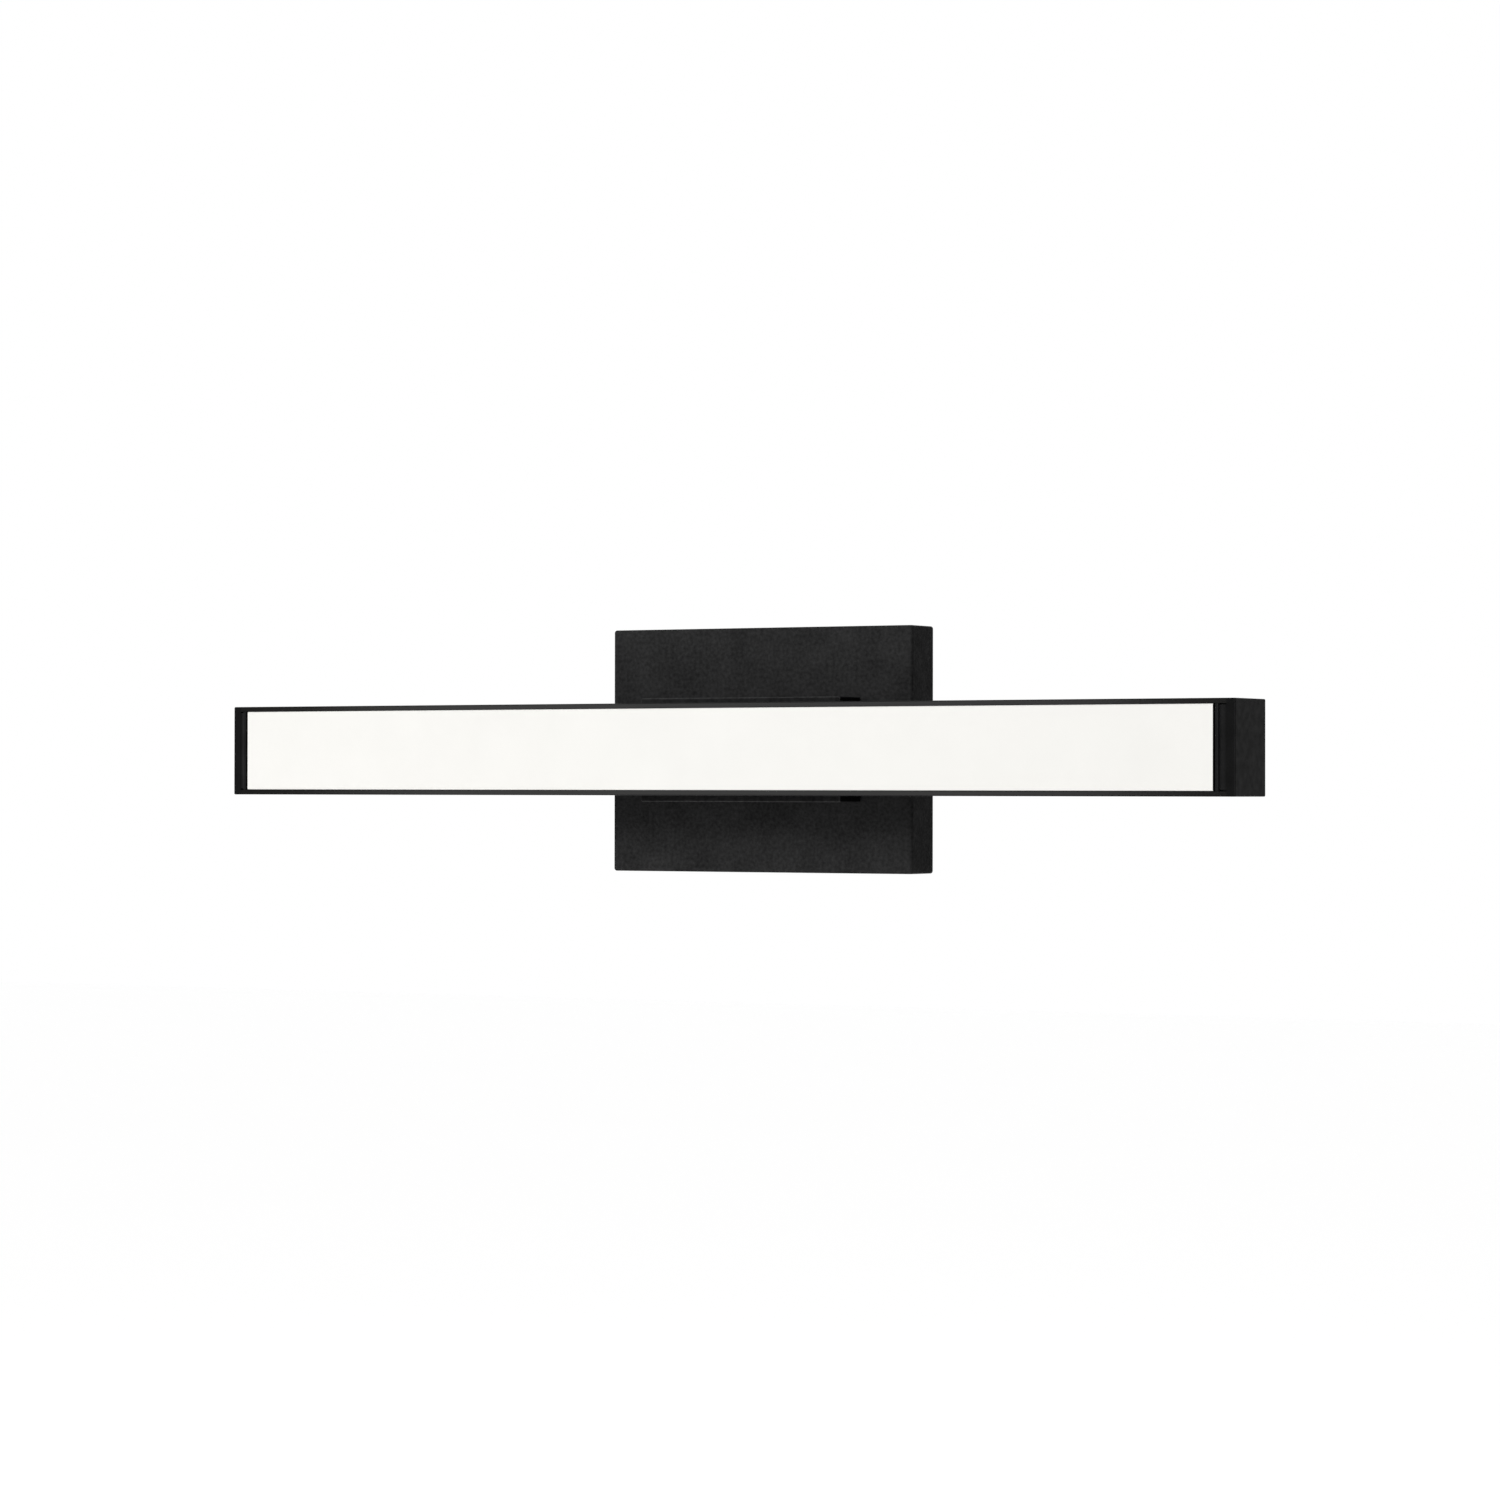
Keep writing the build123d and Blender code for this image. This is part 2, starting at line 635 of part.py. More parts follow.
def make_driver_cover():
    """Lid with a locating rim that drops inside the case."""
    lid = block((driver_left, driver_right), (driver_rear, driver_cover_front), (driver_bottom, driver_top))
    lid = fillet(lid.edges().filter_by(Axis.Y), driver_wall)
    rim_depth = (driver_cover_front, driver_cover_front + driver_cover_rim)
    rim_inset = driver_wall + plug_clearance
    rim, rim_opening = [block((driver_left + inset, driver_right - inset), rim_depth,
                              (driver_bottom + inset, driver_top - inset))
                        for inset in (rim_inset, rim_inset + driver_wall)]
    return lid + (rim - rim_opening)


def make_driver_board():
    inset = driver_wall + slide_clearance
    return block((driver_left + inset, driver_right - inset), (driver_board_rear, driver_board_front),
                 (driver_bottom + inset, driver_top - inset))


def make_driver_components():
    """What stands on the driver's board: a header at each end, choke, transformer, two capacitors."""
    board_side = driver_board_rear
    header_tip = driver_lead_depth - supply_lead_radius - screw_clearance
    inset = driver_wall + header_end_gap
    left_header = (driver_left + inset, driver_left + inset + header_length)
    right_header = (driver_right - inset - header_length, driver_right - inset)
    in_top = max(input_lead_heights) + supply_lead_radius + screw_clearance
    in_bottom = min(input_lead_heights) - supply_lead_radius - screw_clearance
    out_half = led_lead_spacing / 2 + led_lead_radius + screw_clearance
    pieces = [block(left_header, (header_tip, board_side), (in_bottom, in_top)),
              block(right_header, (header_tip, board_side),
                    (output_lead_height - out_half, output_lead_height + out_half))]
    z = driver_middle_z
    choke_x = (left_header[1] + choke_gap, left_header[1] + choke_gap + choke_length)
    pieces.append(block(choke_x, (board_side - choke_height, board_side),
                        (z - choke_width / 2, z + choke_width / 2)))
    first_x = choke_x[1] + capacitor_gap + capacitor_radius
    transformer_start = first_x + capacitor_radius + capacitor_gap
    transformer_x = (transformer_start, transformer_start + transformer_length)
    second_x = transformer_x[1] + capacitor_gap + capacitor_radius
    for x in (first_x, second_x):
        pieces.append(rod(capacitor_radius, x, z, board_side - capacitor_height, board_side))
    pieces.append(block(transformer_x, (board_side - transformer_height, board_side),
                        (z - transformer_width / 2, z + transformer_width / 2)))
    return group(pieces)


def terminal_pole_places():
    return [terminal_x + (i - (terminal_poles - 1) / 2) * terminal_pitch for i in range(terminal_poles)]


def terminal_screw_heights():
    return [terminal_middle_z + side * terminal_screw_spacing / 2 for side in (-1, 1)]


def terminal_screw_places():
    return [(x, z) for x in terminal_pole_places() for z in terminal_screw_heights()]


def make_terminal_block():
    """Moulded block: a metal barrel lies in each pole, with screw wells towards the wall and end ears."""
    body_x = (terminal_x - terminal_half, terminal_x + terminal_half)
    rear = canopy_floor - terminal_height
    body = block(body_x, (rear, canopy_floor), (terminal_bottom, terminal_top))
    body = fillet(body.edges().filter_by(Axis.Y), terminal_corner_radius)
    for x in terminal_pole_places():
        place = Pos(x, -terminal_entry_depth, terminal_middle_z)
        body -= place * Cylinder(supply_lead_radius + lead_hole_clearance, terminal_width)
        body -= place * Cylinder(terminal_barrel_radius + thread_clearance, terminal_barrel_length)
    for x, z in terminal_screw_places():
        body -= rod(terminal_well_radius, x, z, rear, terminal_entry_depth)
    ear_depth = (canopy_floor - terminal_ear_thickness, canopy_floor)
    ear_z = (terminal_middle_z - terminal_width / 4, terminal_middle_z + terminal_width / 4)
    for side in (-1, 1):
        edge = terminal_x + side * terminal_half
        body += block(sorted((edge, edge + side * terminal_ear_length)), ear_depth, ear_z)
    for x in terminal_studs:
        body -= rod(m3_radius + screw_clearance, x, terminal_middle_z, *ear_depth)
    return body


def make_terminal_barrels():
    """Brass tubes that join a supply wire to a lead, tapped for two screws each."""
    barrels = []
    for x in terminal_pole_places():
        place = Pos(x, -terminal_entry_depth, terminal_middle_z)
        barrel = place * Cylinder(terminal_barrel_radius, terminal_barrel_length)
        barrel -= place * Cylinder(supply_lead_radius + lead_hole_clearance, terminal_barrel_length)
        for z in terminal_screw_heights():
            tapped = terminal_screw_radius + thread_clearance
            barrel -= rod(tapped, x, z, terminal_entry_depth - terminal_barrel_radius, terminal_entry_depth)
        barrels.append(barrel)
    return group(barrels)


def make_terminal_screws():
    """Slotted screws that press on the wires, each standing on its wire."""
    tip = terminal_entry_depth - supply_lead_radius
    screws = []
    for x, z in terminal_screw_places():
        screw = rod(terminal_screw_radius, x, z, tip - terminal_screw_length, tip)
        slot_x = (x - terminal_screw_radius, x + terminal_screw_radius)
        slot_depth = (tip - terminal_screw_length, tip - terminal_screw_length + terminal_slot_depth)
        slot_z = (z - terminal_slot_width / 2, z + terminal_slot_width / 2)
        screws.append(screw - block(slot_x, slot_depth, slot_z))
    return group(screws)


def make_stud_nuts():
    """Nuts on the weld studs, on top of the driver's and the terminal block's ears."""
    nut = hex_nut(m3_nut_width, m3_nut_height, m3_radius + thread_clearance)
    nuts = [facing_wall(canopy_floor - driver_ear_thickness) * Pos(x, -driver_middle_z) * nut
            for x in driver_studs]
    nuts += [facing_wall(canopy_floor - terminal_ear_thickness) * Pos(x, -terminal_middle_z) * nut
             for x in terminal_studs]
    return group(nuts)


def make_ground_lug():
    """Ring terminal on the earth stud, with a crimp barrel for the lead."""
    ring = rod(lug_ring_radius, ground_stud_x, ground_stud_z, canopy_floor - lug_thickness, canopy_floor)
    neck = (ground_lug_entry_x, ground_stud_x - m4_radius - screw_clearance)
    strip = (ground_stud_z - lug_neck_width / 2, ground_stud_z + lug_neck_width / 2)
    ring += block(neck, (canopy_floor - lug_thickness, canopy_floor), strip)
    barrel = Cylinder(lug_barrel_radius, lug_barrel_length, rotation=(0, 90, 0))
    place = Pos(ground_lug_entry_x + lug_barrel_length / 2, -lug_barrel_depth, ground_stud_z)
    bore = Cylinder(supply_lead_radius + thread_clearance, lug_barrel_length, rotation=(0, 90, 0))
    lug = ring + place * barrel - place * bore
    return lug - rod(m4_radius + screw_clearance, ground_stud_x, ground_stud_z,
                     canopy_floor - lug_thickness, canopy_floor)


def make_ground_nut():
    nut = hex_nut(m4_nut_width, m4_nut_height, m4_radius + thread_clearance)
    return facing_wall(canopy_floor - lug_thickness) * Pos(ground_stud_x, -ground_stud_z) * nut


# ---------------------------------------------------------------- leads

# Routes are chosen by hand, as (X, depth, Z) points from one end of the lead to the other.
neutral_route = [(-70.3, 10, 51), (-88.3, 10, 51), (-87, 12.5, 15), (-82, 15, -8), (-62, 16.3, -24),
                 (-62, 16.3, -43.5)]
live_route = [(-70.3, 10, 46), (-85, 10, 46), (-83.5, 12.5, 20), (-75, 15, 0), (-54, 16.3, -20),
              (-54, 16.3, -43.5)]
ground_route = [(-46, 16.3, -43.5), (-46, 16.3, -17), (-31, 21, -17), (-18.6, 21, -17)]
led_route = [(18.3, 10, 35.5), (27, 10, 35.5), (45, 10, 18), (45, 27, 18), (45.5, 42, 5.5), (45, 57, 5.5)]


def make_lead(name, route, radius, lift=0.0):
    """Round lead: straight runs joined by tangent arcs, each as large as its two runs allow."""
    points = [Vector(x, -depth, z + lift) for x, depth, z in route]
    bends = []
    for before, corner, after in zip(points, points[1:], points[2:]):
        turn = (corner - before).get_angle(after - corner)
        shorter = min((corner - before).length, (after - corner).length)
        bends.append(bend_share * shorter / math.tan(math.radians(turn / 2)))
    path = FilletPolyline(*points, radius=bends)
    lead = sweep(Plane(origin=points[0], z_dir=points[1] - points[0]) * Circle(radius), path=path)
    swept_volume = math.pi * radius**2 * path.length
    print(name, "bend radii", [round(bend, 1) for bend in bends], "length", round(path.length, 1),
          "volume", round(lead.volume, 1), "section times length", round(swept_volume, 1))
    return lead


# ---------------------------------------------------------------- assembly

def make_parts():
    half_gap = led_lead_spacing / 2
    return {
        "mounting_strap": make_mounting_strap(),
        "strap_ground_screw": make_strap_ground_screw(),
        "canopy_pan": make_canopy_pan(),
        "canopy_side_screws": make_canopy_side_screws(),
        "canopy_bushing": snap_bushing(canopy_entry_x, canopy_entry_z, canopy_floor, canopy_depth),
        "standoff_block": make_standoff_block(),
        "standoff_screws": make_standoff_screws(),
        "bar_screws": make_bar_screws(),
        "bar_bushing": snap_bushing(bar_entry_x, bar_entry_z, standoff_floor, housing_floor),
        "bar_housing": make_bar_housing(),
        "end_cap_left": make_end_cap(-1),
        "end_cap_right": make_end_cap(1),
        "end_cap_screws": make_end_cap_screws(),
        "led_tray": make_led_tray(),
        "led_board": make_led_board(),
        "led_packages": make_led_packages(),
        "board_connector": make_board_connector(),
        "board_screws": make_board_screws(),
        "reflector": make_reflector(),
        "diffuser": make_diffuser(),
        "driver_case": make_driver_case(),
        "driver_cover": make_driver_cover(),
        "driver_board": make_driver_board(),
        "driver_components": make_driver_components(),
        "terminal_block": make_terminal_block(),
        "terminal_barrels": make_terminal_barrels(),
        "terminal_screws": make_terminal_screws(),
        "stud_nuts": make_stud_nuts(),
        "ground_lug": make_ground_lug(),
        "ground_nut": make_ground_nut(),
        "neutral_lead": make_lead("neutral_lead", neutral_route, supply_lead_radius),
        "live_lead": make_lead("live_lead", live_route, supply_lead_radius),
        "ground_lead": make_lead("ground_lead", ground_route, supply_lead_radius),
        "led_lead_positive": make_lead("led_lead_positive", led_route, led_lead_radius, half_gap),
        "led_lead_negative": make_lead("led_lead_negative", led_route, led_lead_radius, -half_gap),
    }


os.makedirs("parts", exist_ok=True)
for node, shape in make_parts().items():
    export_step(shape, f"parts/{node}.step")
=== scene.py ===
import json
import math

import bmesh
import bpy
from mathutils import Matrix, Vector


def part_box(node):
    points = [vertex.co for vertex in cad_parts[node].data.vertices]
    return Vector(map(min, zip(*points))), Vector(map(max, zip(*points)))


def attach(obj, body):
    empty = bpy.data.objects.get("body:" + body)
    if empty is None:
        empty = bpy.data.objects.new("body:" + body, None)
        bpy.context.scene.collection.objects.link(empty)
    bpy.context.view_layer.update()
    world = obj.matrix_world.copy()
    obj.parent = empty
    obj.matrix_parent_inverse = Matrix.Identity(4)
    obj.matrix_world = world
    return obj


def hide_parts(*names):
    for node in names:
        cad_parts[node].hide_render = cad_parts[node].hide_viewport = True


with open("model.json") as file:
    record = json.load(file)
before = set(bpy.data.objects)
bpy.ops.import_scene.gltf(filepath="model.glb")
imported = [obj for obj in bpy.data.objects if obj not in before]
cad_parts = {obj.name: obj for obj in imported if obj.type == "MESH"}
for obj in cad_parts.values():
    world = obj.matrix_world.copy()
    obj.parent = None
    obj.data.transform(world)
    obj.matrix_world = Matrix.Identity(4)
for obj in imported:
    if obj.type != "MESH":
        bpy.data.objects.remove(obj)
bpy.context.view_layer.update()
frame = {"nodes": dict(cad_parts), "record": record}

# Vanity light bar. Metres, in the part's own frame: X along the bar, Z up, the wall at Y = 0.


# ---------------------------------------------------------------- camera

CAMERA_AZIMUTH = math.radians(29.74)      # round to the bar's right-hand end
CAMERA_PITCH = math.radians(0.493)        # looking very slightly up
CAMERA_ROLL = math.radians(0.084)
CAMERA_DISTANCE = 2.3896
CAMERA_SIDE_STEP = 0.02486
CAMERA_RISE = -0.00045
SENSOR_WIDTH = 36.0
FOCAL_LENGTH = 108.7


def add_camera(bar_front_y):
    """Camera at the photograph's angle; its distances are from the middle of the bar's front face."""
    sin_a, cos_a = math.sin(CAMERA_AZIMUTH), math.cos(CAMERA_AZIMUTH)
    sin_p, cos_p = math.sin(CAMERA_PITCH), math.cos(CAMERA_PITCH)
    forward = Vector((-sin_a * cos_p, cos_a * cos_p, sin_p))
    right = Vector((cos_a, sin_a, 0))
    place = Vector((0, bar_front_y, CAMERA_RISE)) - forward * CAMERA_DISTANCE + right * CAMERA_SIDE_STEP
    up = right.cross(forward)
    axes = Matrix((right, up, -forward)).transposed().to_4x4()
    data = bpy.data.cameras.new("camera")
    data.sensor_width = SENSOR_WIDTH
    data.lens = FOCAL_LENGTH
    camera = bpy.data.objects.new("camera", data)
    camera.matrix_world = Matrix.Translation(place) @ axes @ Matrix.Rotation(CAMERA_ROLL, 4, "Z")
    bpy.context.collection.objects.link(camera)
    bpy.context.scene.camera = camera


# ---------------------------------------------------------------- materials

NOISE_LOW, NOISE_HIGH = 0.3, 0.7     # the range in which most of a noise lies


class Surface:
    """A Principled material, built up step by step from noise in the object's own metres."""

    def __init__(self, name, roughness=0.5, metallic=0.0, **sockets):
        self.material = bpy.data.materials.new(name)
        self.material.use_nodes = True
        self.nodes = self.material.node_tree.nodes
        self.links = self.material.node_tree.links
        self.shader = self.nodes["Principled BSDF"]
        self.shader.inputs["Roughness"].default_value = roughness
        self.shader.inputs["Metallic"].default_value = metallic
        for socket, value in sockets.items():
            self.shader.inputs[socket.replace("_", " ")].default_value = value
        self.place = self.nodes.new("ShaderNodeTexCoord").outputs["Object"]
        self.height = None

    def noise(self, grain, detail=4.0, stretch=(1.0, 1.0, 1.0)):
        """Noise whose grain is about that many metres across, drawn out where stretch is small."""
        mapping = self.nodes.new("ShaderNodeMapping")
        mapping.inputs["Scale"].default_value = stretch
        self.links.new(self.place, mapping.inputs["Vector"])
        node = self.nodes.new("ShaderNodeTexNoise")
        node.inputs["Scale"].default_value = 1.0 / grain
        node.inputs["Detail"].default_value = detail
        self.links.new(mapping.outputs["Vector"], node.inputs["Vector"])
        return node.outputs["Fac"]

    def mixed(self, first, second, share):
        """Two noises added together, the second one for that share."""
        node = self.nodes.new("ShaderNodeMix")
        node.inputs["Factor"].default_value = share
        self.links.new(first, node.inputs["A"])
        self.links.new(second, node.inputs["B"])
        return node.outputs["Result"]

    def spots(self, spacing):
        """0 in the middle of scattered cells of about that many metres, rising towards their rims."""
        node = self.nodes.new("ShaderNodeTexVoronoi")
        node.inputs["Scale"].default_value = 1.0 / spacing
        self.links.new(self.place, node.inputs["Vector"])
        return node.outputs["Distance"]

    def distance(self, axis, start, end):
        """0 up to a distance from the middle along one axis, 1 past a second one."""
        parts = self.nodes.new("ShaderNodeSeparateXYZ")
        self.links.new(self.place, parts.inputs["Vector"])
        size = self.nodes.new("ShaderNodeMath")
        size.operation = "ABSOLUTE"
        self.links.new(parts.outputs[axis], size.inputs[0])
        node = self.nodes.new("ShaderNodeMapRange")
        node.inputs["From Min"].default_value = start
        node.inputs["From Max"].default_value = end
        self.links.new(size.outputs[0], node.inputs["Value"])
        return node.outputs["Result"]

    def below(self, axis, face, depths):
        """0 deeper than the first depth below a face, 1 from the second depth outwards."""
        return self.distance(axis, face - depths[0], face - depths[1])

    def scaled(self, colour, share, at_zero, at_one):
        """A colour times a factor that runs between two values as the share runs from 0 to 1."""
        factor = self.nodes.new("ShaderNodeMapRange")
        factor.inputs["To Min"].default_value = at_zero
        factor.inputs["To Max"].default_value = at_one
        self.links.new(share, factor.inputs["Value"])
        node = self.nodes.new("ShaderNodeVectorMath")
        node.operation = "SCALE"
        self.links.new(colour, node.inputs["Vector"])
        self.links.new(factor.outputs["Result"], node.inputs["Scale"])
        return node.outputs["Vector"]

    def ramp(self, value, stops):
        """A colour that runs between two (position, colour) stops."""
        node = self.nodes.new("ShaderNodeValToRGB")
        for element, (position, colour) in zip(node.color_ramp.elements, stops):
            element.position = position
            element.color = (*colour, 1)
        self.links.new(value, node.inputs["Fac"])
        return node.outputs["Color"]

    def colour(self, value, stops):
        """Base colour that runs between two stops."""
        self.links.new(self.ramp(value, stops), self.shader.inputs["Base Color"])
        return self

    def roughness(self, value, low, high):
        """Roughness that follows a noise between two levels."""
        node = self.nodes.new("ShaderNodeMapRange")
        node.inputs["From Min"].default_value = NOISE_LOW
        node.inputs["From Max"].default_value = NOISE_HIGH
        node.inputs["To Min"].default_value = low
        node.inputs["To Max"].default_value = high
        self.links.new(value, node.inputs["Value"])
        self.links.new(node.outputs["Result"], self.shader.inputs["Roughness"])
        return self

    def bump(self, value, metres):
        """Relief of about that many metres; a further call adds to the earlier ones."""
        node = self.nodes.new("ShaderNodeBump")
        node.inputs["Distance"].default_value = metres
        self.links.new(value, node.inputs["Height"])
        if self.height:
            self.links.new(self.height, node.inputs["Normal"])
        self.height = node.outputs["Normal"]
        self.links.new(self.height, self.shader.inputs["Normal"])
        return self


def spread(rgb, amount):
    """Ramp stops from a little darker to a little lighter than a colour."""
    darker = tuple(channel * (1 - amount) for channel in rgb)
    lighter = tuple(min(channel * (1 + amount), 1) for channel in rgb)
    return (NOISE_LOW, darker), (NOISE_HIGH, lighter)


def powder_coat(name, level, **sockets):
    """Matt black fine-texture powder coat: faint clouds, and a grain of 1 to 2 mm."""
    surface = Surface(name, **sockets)
    mottle = surface.mixed(surface.noise(0.016, 4), surface.noise(0.0020, 2), 0.58)
    surface.colour(mottle, spread((level, level, level * 1.01), 0.44))
    surface.roughness(surface.noise(0.005, 5), 0.48, 0.66)
    surface.bump(surface.noise(0.0014, 2), 0.00035)
    return surface.bump(surface.noise(0.006, 2), 0.00030)


# Painted light, shade and highlights that change near an edge. A pair of depths below a face says where a
# shade starts and is full.
BLOCK_FACE_SKIN = (0.0004, 0.0001)       # the block's flat ends and its front
BLOCK_ROUNDED_EDGE = (0.0016, 0.0012)    # the rounded edges around its front
# painted shade on the block's two ends, and a painted highlight on its rounded front edges
BLOCK_END_PAINTED_SHADE = 0.25
BLOCK_EDGE_PAINTED_HIGHLIGHT = 3.0
BLOCK_REAR_OF_HIGHLIGHT = 0.33                  # of the edges' painted highlight

HOUSING_FADE = 0.012                     # the painted light on the housing's back fades to its front over this depth
# painted light: the housing's back is paler than its front
HOUSING_BACK_PAINTED_LIGHT = 4.0

CAP_NOSE_END = 0.2964                    # where the nose beside the diffuser ends
CAP_NOSE_SKIN = (0.0002, 0.0001)
CAP_EDGE = 0.0007                        # radius of the flange's edge
# painted light on the recessed strip, painted shade on the nose's front, a painted highlight on the flange's
# edge
CAP_STRIP_PAINTED_LIGHT = 4.0
CAP_NOSE_PAINTED_SHADE = 0.45                    # of the strip's painted light; a painted shade on the nose's front
CAP_EDGE_PAINTED_HIGHLIGHT = 2.5
CAP_SIDE_OF_HIGHLIGHT = 0.4                     # of the edge's painted highlight, which the flange's side loses

SNAP_HOOK = 0.0007                       # how far the diffuser's hooks stand out past its face
# painted shadow: a dark band along the diffuser's ends and long edges
OPAL_PAINTED_SHADOW_EDGE = (0.00035, 0.00025)
OPAL_GLOW_DEPTH = (0.0011, 0.0008)
OPAL_BODY = (0.438, 0.434, 0.420), (0.452, 0.448, 0.434)
OPAL_GLOW = (0.433, 0.428, 0.410), (0.443, 0.438, 0.420)
OPAL_END_PAINTED_SHADOW = 0.02
OPAL_EDGE_PAINTED_SHADOW = 0.05


def block_coat(half_width, front):
    """The same coat on the block, with painted shade on its two ends and a painted highlight on its rounded
    long front edges.
    """
    surface = powder_coat("block_black", 0.0176, Specular_IOR_Level=0.004)
    coat = surface.shader.inputs["Base Color"].links[0].from_socket
    end = surface.below("X", half_width, BLOCK_FACE_SKIN)
    face = surface.below("Y", front, BLOCK_FACE_SKIN)
    behind_edge = surface.below("Y", front, BLOCK_ROUNDED_EDGE)
    coat = surface.scaled(surface.scaled(coat, end, 1.0, BLOCK_END_PAINTED_SHADE), face, BLOCK_EDGE_PAINTED_HIGHLIGHT, 1.0)
    coat = surface.scaled(coat, behind_edge, BLOCK_REAR_OF_HIGHLIGHT, 1.0)
    surface.links.new(coat, surface.shader.inputs["Base Color"])
    return surface.material


def painted_extrusion(back):
    """Satin black paint on drawn aluminium, with faint lines along the bar; painted light makes it paler
    towards its back.
    """
    surface = Surface("housing_black", Specular_IOR_Level=0.08)
    along = (0.02, 1.0, 1.0)
    paint = surface.ramp(surface.noise(0.004, 4, along), spread((0.0037, 0.0035, 0.0031), 0.20))
    forward = surface.distance("Y", back, back + HOUSING_FADE)
    paint = surface.scaled(paint, forward, HOUSING_BACK_PAINTED_LIGHT, 1.0)
    surface.links.new(paint, surface.shader.inputs["Base Color"])
    surface.roughness(surface.noise(0.0015, 4, along), 0.11, 0.15)
    surface.bump(surface.noise(0.0007, 3, along), 0.00001)
    return surface.bump(surface.noise(0.0012, 2), 0.00001).material


def moulded(name, rgb, roughness=(0.42, 0.56), grain=0.0008, relief=0.00003, drift=0.08, **sockets):
    """Moulded or cast surface: slight drift of colour, fine spark-erosion grain."""
    surface = Surface(name, **sockets)
    surface.colour(surface.noise(0.012, 4), spread(rgb, drift))
    surface.roughness(surface.noise(0.004, 4), *roughness)
    return surface.bump(surface.noise(grain, 3), relief).material


def cap_finish(housing_end, cap_end):
    """Moulded cap: the recessed strip between nose and flange has painted light, most of all beside the nose;
    the nose's front has painted shade and the flange's edge a painted highlight.
    """
    surface = Surface("cap_black", Specular_IOR_Level=0.03)
    shade = surface.ramp(surface.noise(0.012, 4), spread((0.0056, 0.0056, 0.0057), 0.2))
    along_strip = surface.distance("X", CAP_NOSE_END, housing_end)
    past_nose = surface.below("X", CAP_NOSE_END, CAP_NOSE_SKIN)
    shade = surface.scaled(shade, past_nose, CAP_NOSE_PAINTED_SHADE, 1.0)
    shade = surface.scaled(shade, along_strip, CAP_STRIP_PAINTED_LIGHT, 1.0)
    edge = surface.distance("X", cap_end - CAP_EDGE, cap_end - 0.7 * CAP_EDGE)
    side = surface.distance("X", cap_end - 0.2 * CAP_EDGE, cap_end - 0.05 * CAP_EDGE)
    shade = surface.scaled(surface.scaled(shade, edge, 1.0, CAP_EDGE_PAINTED_HIGHLIGHT), side, 1.0, CAP_SIDE_OF_HIGHLIGHT)
    surface.links.new(shade, surface.shader.inputs["Base Color"])
    surface.roughness(surface.noise(0.004, 4), 0.46, 0.60)
    return surface.bump(surface.noise(0.0008, 3), 0.00003).material


def opal_acrylic(end, half_height, front):
    """Opal acrylic that glows at its front; all its edges are darkened by a painted shadow and their glow is
    taken off.
    """
    surface = Surface("opal", Specular_IOR_Level=0.06)
    past_end = surface.below("X", end, OPAL_PAINTED_SHADOW_EDGE)
    past_edge = surface.below("Z", half_height, OPAL_PAINTED_SHADOW_EDGE)
    at_front = surface.below("Y", front, OPAL_GLOW_DEPTH)
    body = surface.ramp(surface.noise(0.03, 3), ((NOISE_LOW, OPAL_BODY[0]), (NOISE_HIGH, OPAL_BODY[1])))
    body = surface.scaled(body, past_end, 1.0, OPAL_END_PAINTED_SHADOW)
    body = surface.scaled(body, past_edge, 1.0, OPAL_EDGE_PAINTED_SHADOW)
    surface.links.new(body, surface.shader.inputs["Base Color"])
    glow = surface.ramp(surface.noise(0.05, 2), ((NOISE_LOW, OPAL_GLOW[0]), (NOISE_HIGH, OPAL_GLOW[1])))
    for share, at_zero, at_one in ((past_end, 1.0, 0.0), (past_edge, 1.0, 0.0), (at_front, 0.0, 1.0)):
        glow = surface.scaled(glow, share, at_zero, at_one)
    surface.links.new(glow, surface.shader.inputs["Emission Color"])
    surface.shader.inputs["Emission Strength"].default_value = 1.0
    surface.roughness(surface.noise(0.01, 3), 0.34, 0.42)
    return surface.bump(surface.noise(0.0012, 3), 0.000015).material


def plated(name, rgb, roughness=(0.24, 0.42), drift=0.1, stretch=(1.0, 1.0, 1.0)):
    """Plated or milled metal, a little uneven, with fine lines where it is drawn."""
    surface = Surface(name, metallic=1.0)
    surface.colour(surface.noise(0.006, 5), spread(rgb, drift))
    surface.roughness(surface.noise(0.003, 5, stretch), *roughness)
    return surface.bump(surface.noise(0.0006, 3, stretch), 0.00002).material


def circuit_board(name, mask, copper):
    """Solder mask with the copper areas showing paler through it."""
    surface = Surface(name, Coat_Weight=0.3, Coat_Roughness=0.2)
    surface.colour(surface.spots(0.007), ((0.35, copper), (0.42, mask)))
    surface.roughness(surface.noise(0.004, 3), 0.3, 0.45)
    return surface.bump(surface.noise(0.001, 3), 0.00002).material


def insulation(name, rgb):
    """PVC insulation: smooth, a little uneven along its length."""
    return moulded(name, rgb, (0.3, 0.42), grain=0.0015, drift=0.1)


